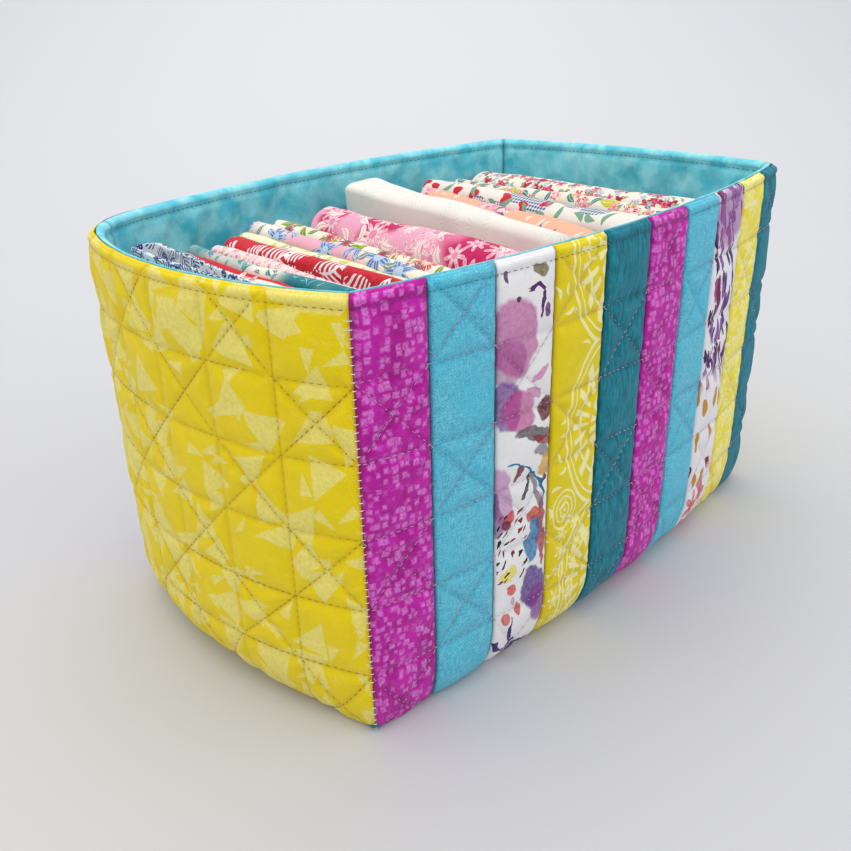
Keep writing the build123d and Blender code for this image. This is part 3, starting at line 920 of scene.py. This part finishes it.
CLOTH = 0.35 * MM
SEAM_GAP = 0.12 * MM         # between two pieces at a seam
FOOT_GAP = 0.3 * MM          # between a wall piece and the base seam


def with_allowance(low, high, step):
    """Positions across a cloth piece, with its seam allowances folded back at both ends."""
    middle = np.linspace(low, high, int(round((high - low) / step)) + 1)
    fold = np.array([0.15, 0.45, 0.9, 1.6, 3.2, 5.0, 6.35]) * MM
    return np.concatenate([low - fold[::-1], middle, high + fold])


def folded(values, low, high):
    """Folded-back position and how deep each lies behind the face."""
    over = np.maximum(low - values, 0) + np.maximum(values - high, 0)
    inside = np.where(values < low, 2 * low - values, np.where(values > high, 2 * high - values, values))
    depth = np.where(over > 0, 0.55 * MM + 0.25 * MM * np.clip(over / (1.0 * MM), 0, 1), 0.0)
    return inside, depth


def cloth_panel(name, wall, low, high, slot, material=None):
    """A pieced cotton panel from u = low to u = high, over the wall's whole height."""
    low_edge, high_edge = low + SEAM_GAP, high - SEAM_GAP
    us = with_allowance(low_edge, high_edge, GRID)
    vs = with_allowance(FOOT_GAP, HEIGHT, GRID)
    u_in, u_depth = folded(us, low_edge, high_edge)
    v_in, v_depth = folded(vs, FOOT_GAP, HEIGHT)
    uu, vv = np.meshgrid(u_in, v_in)
    deeper = np.maximum(u_depth[None, :], v_depth[:, None])
    depth = deeper + 0.3 * np.minimum(u_depth[None, :], v_depth[:, None])
    seam = np.minimum(np.abs(uu - low_edge), np.abs(uu - high_edge))
    depth = depth + 0.45 * MM * np.exp(-seam / (0.55 * MM))
    points = wall.outer(uu, vv) + wall.sample(wall.inward, uu, vv) * depth[..., None]
    line = wall.nearest_line(uu, vv)
    # painted shade: darker colour along the quilting lines and the seams
    painted_crease_shade = np.exp(-(line / (0.55 * MM)) ** 1.3) * 0.75 + 0.5 * np.exp(-seam / (0.5 * MM))
    if material:
        # painted shade along the corner seam, beside the ladder stitches
        corner = np.minimum(uu, wall.length - uu)
        painted_crease_shade = painted_crease_shade + 1.2 * np.exp(-corner / (0.8 * MM))
    uv = np.stack(np.meshgrid(us - low, vs), -1)
    faces = grid_faces(len(vs), len(us))
    obj = make_object(name, points, faces, uv, np.clip(painted_crease_shade, 0, 1), material or slot)
    thicken(obj, CLOTH)
    belongs(obj, name)
    return obj


STRIP_SLOTS = ("magenta_mottle", "aqua_linen", "white_splash_print", "yellow_line_floral", "teal_brushed",
               "magenta_mottle", "aqua_linen", "white_splash_print", "lemon_bloom", "teal_brushed")

for end in ("near_end", "far_end"):
    cloth_panel(f"{end}_panel", walls[end], 0.0, walls[end].length, "yellow_shard_print")
for side in ("front", "back"):
    for number, slot in enumerate(STRIP_SLOTS, 1):
        step = number - 1 if side == "front" else STRIPS - number
        material = "white_splash_dense" if number == 8 else slot
        name = f"{side}_strip_{number:02d}"
        cloth_panel(name, walls[side], step * UNIT, (step + 1) * UNIT, slot, material)


def shell(name, outer, inner, uv, slot):
    """A closed piece between two faces with the same grid."""
    rows, cols = outer.shape[:2]
    count = rows * cols
    faces = [grid_faces(rows, cols), grid_faces(rows, cols, flip=True) + count]
    bottom = np.arange(cols)
    right_side = np.arange(rows) * cols + cols - 1
    top = (rows - 1) * cols + np.arange(cols)[::-1]
    left_side = (np.arange(rows) * cols)[::-1]
    loop = np.concatenate([bottom[:-1], right_side[:-1], top[:-1], left_side[:-1]])
    after = np.roll(loop, -1)
    faces.append(np.stack([loop + count, after + count, after, loop], 1))
    points = np.concatenate([outer.reshape(-1, 3), inner.reshape(-1, 3)])
    both = np.concatenate([uv.reshape(-1, 2), uv.reshape(-1, 2)])
    return make_object(name, points, np.concatenate(faces), both, None, slot)


for name, wall in walls.items():
    us = np.linspace(1.0 * MM, wall.length - 1.0 * MM, int(wall.length / (2.5 * MM)))
    vs = np.linspace(2.0 * MM, HEIGHT - 2.0 * MM, int(HEIGHT / (2.5 * MM)))
    uu, vv = np.meshgrid(us, vs)
    inward = wall.sample(wall.inward, uu, vv)
    outside = wall.outer(uu, vv, -0.2 * MM) + inward * (1.3 * MM)
    inside = wall.sample(wall.place, uu, vv) + inward * (3.0 * MM)
    inside[..., 2] = np.maximum(inside[..., 2], outside[..., 2])
    obj = shell(f"{name}_wadding", outside, inside, np.stack([uu, vv], -1), "wadding")
    belongs(obj, f"{name}_wadding")

    us = np.linspace(0.0, wall.length, int(wall.length / (1.4 * MM)))
    # the lining runs from the floor seam up the wall and over to meet the outer cotton
    over_rim = np.sin(np.linspace(0.08, 1, 12) * math.pi / 2)
    vs = np.concatenate([np.linspace(5.0 * MM, HEIGHT - LINING_ROUND, 100),
                         HEIGHT - LINING_ROUND + LINING_ROUND * over_rim])
    uu, vv = np.meshgrid(us, vs)
    points = wall.inner(uu, vv)
    at_rim = wall.sample(wall.inward, us, np.full_like(us, HEIGHT))
    tail = points[-1] + (at_rim * (0.15 * MM))
    tail = tail - np.array([0, 0, 1.2 * MM])
    points = np.concatenate([points, tail[None]])
    tail_uv = np.stack([us, np.full_like(us, HEIGHT + 1.2 * MM)], -1)
    uv = np.concatenate([np.stack([uu, vv], -1), tail_uv[None]])
    ends = np.minimum(uu, wall.length - uu)
    # painted shade: darker lining at the corner ends of each wall and along the groove of the rim stitching
    painted_crease_shade = 0.9 * np.exp(-ends / (1.2 * MM)) + 0.4 * np.exp(-((vv - RIM_STITCH) / (0.8 * MM)) ** 2)
    painted_crease_shade = np.concatenate([painted_crease_shade, painted_crease_shade[-1:]])
    obj = make_object(f"{name}_lining", points, grid_faces(len(vs) + 1, len(us), flip=True), uv,
                      np.clip(painted_crease_shade, 0, 1), "lining_aqua")
    thicken(obj, CLOTH)
    belongs(obj, f"{name}_lining")

# ---------------------------------------------------------------- floor layers
floor_edge = []
for name, i in WALLS.items():
    share = np.linspace(0, 1, 61)[:-1]
    floor_edge.append(plan(0.0, 0.02)(i, share) - MIDDLE)
floor_edge = np.concatenate(floor_edge)
lining_plan = plan(LINING_INSET, 0.55)
lining_edge = np.concatenate([lining_plan(i, share) - MIDDLE for i in range(4)])


def disc(name, edge, height, slot, thickness=CLOTH, lift=0.0, roll=0.0):
    """A floor layer as rings that shrink to the middle."""
    shares = np.concatenate([[1.0], np.linspace(0.985, 0.03, 34)])
    count = len(edge)
    rings = []
    for k in shares:
        ring_xy = edge * k
        z = height + lift * (1 - k ** 4) + 0.25 * MM * LUMPS(ring_xy[:, 0], ring_xy[:, 1]) * (1 - k)
        rings.append(np.column_stack([ring_xy, z]))
    if roll:
        corner = np.zeros(count)
        for i in range(4):
            away = np.abs(np.arange(count) - i * 60)
            d = np.minimum(away, count - away)
            corner = np.maximum(corner, np.exp(-(d / 2.2) ** 2))
        direction = edge / np.linalg.norm(edge, axis=1, keepdims=True)
        out = edge + direction * (0.2 * MM + roll * corner)[:, None]
        rolled = np.column_stack([out, np.full(count, height + 1.0 * MM) + 1.4 * MM * corner])
        tucked = np.column_stack([edge * 0.99, np.full(count, height + 2.6 * MM)])
        rings = [tucked, rolled] + rings
    points = np.array(rings)
    rows = len(rings)
    index = np.arange(rows * count).reshape(rows, count)
    nxt = np.roll(index, -1, 1)
    faces = np.stack([index[:-1], nxt[:-1], nxt[1:], index[1:]], -1).reshape(-1, 4).tolist()
    points = np.concatenate([points.reshape(-1, 3), [[0, 0, height + lift]]])
    centre = len(points) - 1
    faces += [[int(index[-1, j]), int(nxt[-1, j]), centre] for j in range(count)]
    obj = make_object(name, points, faces, points[:, :2], None, slot)
    return thicken(obj, thickness, 0.0)


base = disc("base_panel", floor_edge, 0.3 * MM, "teal_brushed", roll=2.4 * MM)
belongs(base, "base_panel")
pad = disc("base_wadding", floor_edge * 0.99, 2.6 * MM, "wadding", thickness=2.8 * MM)
belongs(pad, "base_wadding")
inner_floor = disc("base_lining", lining_edge, 4.7 * MM, "lining_aqua", lift=0.3 * MM)
belongs(inner_floor, "base_lining")


# ---------------------------------------------------------------- sewing threads
def stitch_shape(length, radius, dip):
    """One stitch along X: a fat dash whose ends dive into the cloth."""
    rings, sides = 7, 6
    t = np.linspace(-1, 1, rings)
    points = []
    for a in t:
        r = radius * math.sqrt(max(1 - abs(a) ** 4, 0.08))
        for k in range(sides):
            angle = math.tau * k / sides
            points.append((a * length / 2, r * math.cos(angle), r * math.sin(angle) - dip * a ** 4))
    faces = []
    for i in range(rings - 1):
        for k in range(sides):
            a, b = i * sides + k, i * sides + (k + 1) % sides
            faces.append((a, b, b + sides, a + sides))
    faces.append(tuple(range(sides))[::-1])
    faces.append(tuple((rings - 1) * sides + k for k in range(sides)))
    return np.array(points), faces


class Stitches:
    """Gathers stitches into one mesh."""

    def __init__(self):
        self.points = []
        self.faces = []
        self.uv = []
        self.count = 0

    def add(self, at, along, normal, length, radius, dip=0.3 * MM, tone=0.0):
        shape, faces = stitch_shape(length, radius, dip)
        x = along / np.linalg.norm(along)
        y = np.cross(normal, x)
        y /= np.linalg.norm(y)
        z = np.cross(x, y)
        self.points.append(at + shape @ np.array([x, y, z]))
        self.uv.append(shape[:, :2] + np.array([tone, 0.0]) + 0.01 * (self.count % 7))
        self.faces += [tuple(i + self.count for i in f) for f in faces]
        self.count += len(shape)

    def build(self, name, slot):
        points = np.concatenate(self.points)
        obj = make_object(name, points, self.faces, np.concatenate(self.uv), None, slot)
        return belongs(obj, name)


STITCH_PITCH = UNIT / 10
THREAD_RADIUS = 0.165 * MM
random = np.random.default_rng(21)


def sew(stitches, wall, start, end, face="outer", length=1.9 * MM, lift=0.08 * MM, tone=0.0):
    """Stitches along a straight run on the cloth from (u, v) start to end."""
    start, end = np.array(start), np.array(end)
    run = np.linalg.norm(end - start)
    count = max(int(round(run / STITCH_PITCH)), 1)
    step = (end - start) / count
    for k in range(count):
        middle = start + step * (k + 0.5 + random.uniform(-0.04, 0.04))
        size = length * random.uniform(0.92, 1.05)
        half = step / np.linalg.norm(step) * size / 2
        uv = np.array([middle - half, middle, middle + half])
        u, v = uv[:, 0].copy(), uv[:, 1].copy()
        if face == "outer":
            du, dv = wall.drifted(u, v)
            u2, v2 = 2 * u - du, 2 * v - dv
            if start[1] == end[1] == RIM_STITCH or start[0] == end[0]:
                u2, v2 = u, v
            p = wall.outer(u2, v2)
            n = wall.sample(wall.normal, np.clip(u2, 0, wall.length), np.clip(v2, 0, HEIGHT))[1]
        else:
            p = wall.inner(u, v)
            n = wall.sample(wall.inward, u, v)[1]
        n = n / np.linalg.norm(n)
        stitches.add(p[1] + n * lift, p[2] - p[0], n, size, THREAD_RADIUS, tone=tone)


EDGE = 1.2 * MM
for name, wall in walls.items():
    stitches = Stitches()
    ends = name.endswith("end")
    for row in range(1, ROWS):
        sew(stitches, wall, (EDGE, row * UNIT), (wall.length - EDGE, row * UNIT))
    if ends:
        for column in range(1, ROWS):
            foot, head = (column * UNIT, 3 * MM), (column * UNIT, RIM_STITCH - 2 * MM)
            sew(stitches, wall, foot, head, lift=-0.05 * MM)
    for column in range(wall.count):
        for row in range(ROWS):
            if (column + row + wall.shift) % 2 == 0:
                left, low = column * UNIT, row * UNIT
                high = min(low + UNIT, RIM_STITCH - 1.0 * MM)
                inset = EDGE if row else 3.0 * MM
                span = high - low - inset
                sew(stitches, wall, (left + inset, low + inset), (left + inset + span, high))
                far = left + UNIT - inset
                sew(stitches, wall, (far, low + inset), (far - span, high))
    stitches.build(f"{name}_quilting", "thread_tan" if ends else "thread_pale")

topstitch = Stitches()
for name, wall in walls.items():
    tone = 0.0 if name.endswith("end") else 1.5
    for face, edge, shade in (("outer", EDGE, tone), ("inner", EDGE * 5, 1.5)):
        run = (edge, RIM_STITCH), (wall.length - edge, RIM_STITCH)
        sew(topstitch, wall, *run, face, length=2.1 * MM, lift=0.06 * MM, tone=shade)
topstitch.build("rim_topstitch", "thread_tan")

ladder = Stitches()
around = list(walls.values())
reach = np.array([0.75 * MM])
for corner in range(4):
    after, before = around[corner], around[corner - 1]
    for v in np.arange(3.5 * MM, HEIGHT - 4.2 * MM, STITCH_PITCH):
        height = np.array([v])
        a = after.outer(reach, height)[0]
        b = before.outer(before.length - reach, height)[0]
        n = after.sample(after.normal, reach, height)[0]
        n = n + before.sample(before.normal, before.length - reach, height)[0]
        n /= np.linalg.norm(n)
        mid = after.outer(np.array([0.0]), height)[0]
        at = (a + b) / 2 * 0.35 + mid * 0.65 + n * 0.25 * MM
        size = np.linalg.norm(b - a) * 1.08
        ladder.add(at, b - a, n, size, 0.15 * MM, 0.5 * MM, tone=1.5)
ladder.build("corner_stitches", "thread_pale")


# ---------------------------------------------------------------- folded fabrics
def node_corners(node):
    """Plan of a folded fabric's CAD block: its two faces at both ends, and its heights."""
    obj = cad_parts[node]
    points = np.array([v.co for v in obj.data.vertices])
    low, high = points.min(0), points.max(0)
    faces = []
    for y in (low[1], high[1]):
        near = points[np.abs(points[:, 1] - y) < 6 * MM]
        faces.append((near[:, 0].min(), near[:, 0].max()))
    return low, high, faces


def arc(centre, wide, tall, start, end, count):
    angle = np.linspace(start, end, count)
    return np.column_stack([centre[0] + wide * np.cos(angle), centre[1] + tall * np.sin(angle)])


def rolled_path(thick, tall, passes, pitch):
    """Line of a cloth rolled flat: up the near side, over the top and down the far side, inward."""
    parts = []
    for k in range(passes):
        turn = k // 2
        side = (turn + 0.5) * pitch
        top = tall - side
        bottom = side
        x = side if k % 2 == 0 else thick - side
        crown = min((thick - 2 * side) / 2, 0.9 * (thick / 2))
        heights = np.linspace(bottom + pitch, top - crown, 12)
        if k % 2:
            heights = heights[::-1]
        parts.append(np.column_stack([np.full(12, x), heights]))
        if k % 2 == 0:
            parts.append(arc((thick / 2, top - crown), (thick - 2 * side) / 2, crown, math.pi, 0, 15)[1:-1])
        elif k < passes - 1:
            next_side = side + pitch
            middle = ((x + next_side) / 2, bottom + pitch)
            parts.append(arc(middle, abs(x - next_side) / 2, pitch * 0.8, 0, -math.pi, 9)[1:-1])
    return np.concatenate(parts)


def hooked_path(thick, long, passes, pitch):
    """Line of a cloth that runs along and turns back in an open loop at its end, seen from above."""
    parts = []
    for k in range(passes):
        turn = k // 2
        side = (turn + 0.5) * pitch
        wide = (thick - 2 * side) / 2
        x = side if k % 2 == 0 else thick - side
        along = np.linspace(4 * MM + side, long - 1.35 * thick, 22)
        slim = 1 - 0.42 * np.clip(1 - (along - long * 0.35) / (long * 0.45), 0, 1)
        if k % 2:
            along, slim = along[::-1], slim[::-1]
        parts.append(np.column_stack([thick * 0.42 + (x - thick * 0.42) * slim, along]))
        if k % 2 == 0:
            tall = 1.35 * thick - side
            parts.append(arc((thick / 2, long - 1.35 * thick), wide, tall, math.pi, 0, 21)[1:-1])
        elif k < passes - 1:
            parts.append(arc(((x + side + pitch) / 2, 4 * MM + side), abs(x - side - pitch) / 2 * 0.6,
                             pitch, 0, -math.pi, 9)[1:-1])
    return np.concatenate(parts)


def trimmed(path, length):
    """The path cut to a cloth's length, with distance along it."""
    run = np.concatenate([[0], np.cumsum(np.linalg.norm(np.diff(path, axis=0), axis=1))])
    if run[-1] > length:
        keep = run < length
        end = np.array([np.interp(length, run, path[:, i]) for i in range(2)])
        path = np.concatenate([path[keep], end[None]])
        run = np.concatenate([run[keep], [length]])
    return path, run


def plies(width, count, pitch):
    """Cross-ways folds: position across, offset from the middle ply and distance over the cloth."""
    across, offset = [], []
    for k in range(count):
        line = np.linspace(pitch, width - pitch, 13)
        across.append(line if k % 2 == 0 else line[::-1])
        offset.append(np.full(13, (k - (count - 1) / 2) * pitch))
        if k < count - 1:
            angle = np.linspace(-math.pi / 2, math.pi / 2, 6)[1:-1]
            edge = width - pitch if k % 2 == 0 else pitch
            way = 1 if k % 2 == 0 else -1
            across.append(edge + way * pitch * 0.9 * np.cos(angle))
            offset.append((k + 0.5 - (count - 1) / 2) * pitch + pitch / 2 * np.sin(angle))
    across, offset = np.concatenate(across), np.concatenate(offset)
    run = np.concatenate([[0], np.cumsum(np.hypot(np.diff(across), np.diff(offset)))])
    return across, offset, run


# slot, cut across and along in metres, plies, passes, print shift
QUARTER = (0.457, 0.559)
QUARTER_TURNED = (0.559, 0.457)
HALF = (0.457, 1.118)
FOLDS = (
    ("fabric_blue_leaf", (0.559, 0.229), 4, 2, 0.00),
    ("fabric_cream_red", QUARTER, 5, 4, 0.11),
    ("fabric_red", QUARTER, 4, 4, 0.23),
    ("fabric_teal_leaf", QUARTER, 4, 4, 0.05),
    ("fabric_pink_small", QUARTER, 4, 4, 0.17),
    ("fabric_red_leaf", QUARTER, 4, 4, 0.31),
    ("fabric_lime_floral", QUARTER_TURNED, 4, 3, 0.07),
    ("fabric_cream_blue", QUARTER_TURNED, 4, 3, 0.13),
    ("fabric_green_leaf", QUARTER_TURNED, 4, 3, 0.02),
    ("fabric_pink_bloom", HALF, 4, 8, 0.19),
    ("fabric_plain_cream", (0.559, 1.118), 4, 8, 0.0),
    ("fabric_peach", QUARTER_TURNED, 4, 4, 0.15),
    ("fabric_gingham_hearts", (0.559, 1.118), 4, 8, 0.09),
    ("fabric_patch_print", QUARTER_TURNED, 4, 4, 0.21),
    ("fabric_red_bows", (0.559, 1.118), 4, 8, 0.27),
)
FABRIC_CLOTH = 0.2 * MM


def fold_fabric(number, slot, cut, ply_count, passes, shift):
    node = f"fabric_{number:02d}"
    low, high, (near_end, far_end) = node_corners(node)
    thick = min(near_end[1] - near_end[0], far_end[1] - far_end[0])
    width, tall = high[1] - low[1], high[2] - low[2]
    pitch = min(thick / (passes + passes % 2) * 0.92, 1.5 * MM if number == 1 else 2.6 * MM)
    ply_pitch = pitch / ply_count * 0.92
    hooked = number == 1
    if hooked:
        path, run = trimmed(hooked_path(thick, width, passes, pitch), cut[1])
        across, offset, over = plies(tall - 1 * MM, ply_count, ply_pitch)
    else:
        path, run = trimmed(rolled_path(thick, tall, passes, pitch), cut[1])
        across, offset, over = plies(width - 1 * MM, ply_count, ply_pitch)
    tangent = np.gradient(path, axis=0)
    tangent /= np.maximum(np.linalg.norm(tangent, axis=1, keepdims=True), 1e-9)
    normal = np.column_stack([-tangent[:, 1], tangent[:, 0]])
    flat = path[:, None, :] + normal[:, None, :] * offset[None, :, None]
    side = flat[..., 0]
    if hooked:
        y = low[1] + flat[..., 1]
        z = low[2] + 0.5 * MM + across[None, :] + 0 * side
    else:
        z = low[2] + flat[..., 1]
        y = low[1] + 0.5 * MM + across[None, :] + 0 * side
    wobble = waves(40 + number, 5, 0.05, 0.14)
    ripple = waves(60 + number, 6, 0.012, 0.03)
    share_y = (y - low[1]) / width
    share_z = (z - low[2]) / tall
    near = near_end[0] + (far_end[0] - near_end[0]) * share_y
    far = near_end[1] + (far_end[1] - near_end[1]) * share_y
    # a soft fold pinches in here and there, and its ridge rises and falls along its length
    pinch = 1 - 0.05 * (1 + wobble(y, z)) - 0.03 * (1 + ripple(y, z))
    x = near + (far - near) * (0.5 + (side / thick - 0.5) * np.clip(pinch, 0.78, 1.0))
    z = z + (4.0 * MM * share_z if hooked else 0.0)
    z = z - (0.9 * MM * (1 + wobble(y, x)) + 0.35 * MM * (1 + ripple(y, x))) * share_z ** 3
    points = np.stack([x, y, z], -1)
    uv = np.stack(np.meshgrid(over + shift, run + shift * 2), -1)
    rows, cols = points.shape[:2]
    obj = make_object(node, points, grid_faces(rows, cols), uv, None, slot)
    thicken(obj, FABRIC_CLOTH, 0.0)
    belongs(obj, node, node)


for number, row in enumerate(FOLDS, 1):
    fold_fabric(number, *row)

# ---------------------------------------------------------------- stage and light
# a paper sweep: flat floor, curved up behind the basket
FLOOR_FRONT = -6.0
CURVE_START = 0.5
CURVE = 2.2
SWEEP_TOP = 4.0
floor_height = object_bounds()[0].z
profile = []
for k in range(40):
    t = k / 39
    if t < 0.5:
        profile.append((FLOOR_FRONT + t * 2 * (CURVE_START - FLOOR_FRONT), 0.0))
    else:
        angle = (t - 0.5) * math.pi
        profile.append((CURVE_START + CURVE * math.sin(angle), CURVE - CURVE * math.cos(angle)))
profile.append((CURVE_START + CURVE, SWEEP_TOP))
mesh = bpy.data.meshes.new("sweep")
across = (-6.0, 6.0)
heading = Vector((0.693, 0.721, 0.0))
sideways = Vector((0.721, -0.693, 0.0))
verts = []
for a, z in profile:
    for s in across:
        p = heading * a + sideways * s
        verts.append((p.x, p.y, z + floor_height))
faces = [(2 * i, 2 * i + 1, 2 * i + 3, 2 * i + 2) for i in range(len(profile) - 1)]
mesh.from_pydata(verts, [], faces)
mesh.polygons.foreach_set("use_smooth", [True] * len(mesh.polygons))
floor = bpy.data.objects.new("floor", mesh)
scene.collection.objects.link(floor)
paper = bpy.data.materials.new("paper")
paper.use_nodes = True
paper_shader = paper.node_tree.nodes["Principled BSDF"]
paper_shader.inputs["Base Color"].default_value = srgb(200, 200, 202)
paper_shader.inputs["Roughness"].default_value = 0.75
paper_shader.inputs["Specular IOR Level"].default_value = 0.2
mesh.materials.append(paper)


def area_light(name, at, aim, size, power, colour=(1, 1, 1)):
    data = bpy.data.lights.new(name, "AREA")
    data.shape = "DISK"
    data.size = size
    data.energy = power
    data.color = colour
    light = bpy.data.objects.new(name, data)
    light.location = at
    light.rotation_mode = "QUATERNION"
    light.rotation_quaternion = (Vector(aim) - Vector(at)).to_track_quat("-Z", "Y")
    scene.collection.objects.link(light)


area_light("key", (-0.9, -0.2, 1.3), (0, 0, 0.08), 2.2, 12.0, (1.0, 0.96, 0.91))
area_light("fill", (0.6, -1.3, 0.9), (0, 0, 0.08), 2.0, 8.0, (0.90, 0.95, 1.0))
area_light("top", (0.3, 0.5, 1.5), (0, 0, 0.05), 2.4, 13.0)
area_light("backdrop", (0.5, 0.55, 1.9), (1.9, 1.95, 0.6), 1.6, 16.0, (0.96, 0.98, 1.0))
world = bpy.data.worlds.new("world")
scene.world = world
world.use_nodes = True
world.node_tree.nodes["Background"].inputs[0].default_value = (0.86, 0.88, 0.92, 1.0)
world.node_tree.nodes["Background"].inputs[1].default_value = 0.66
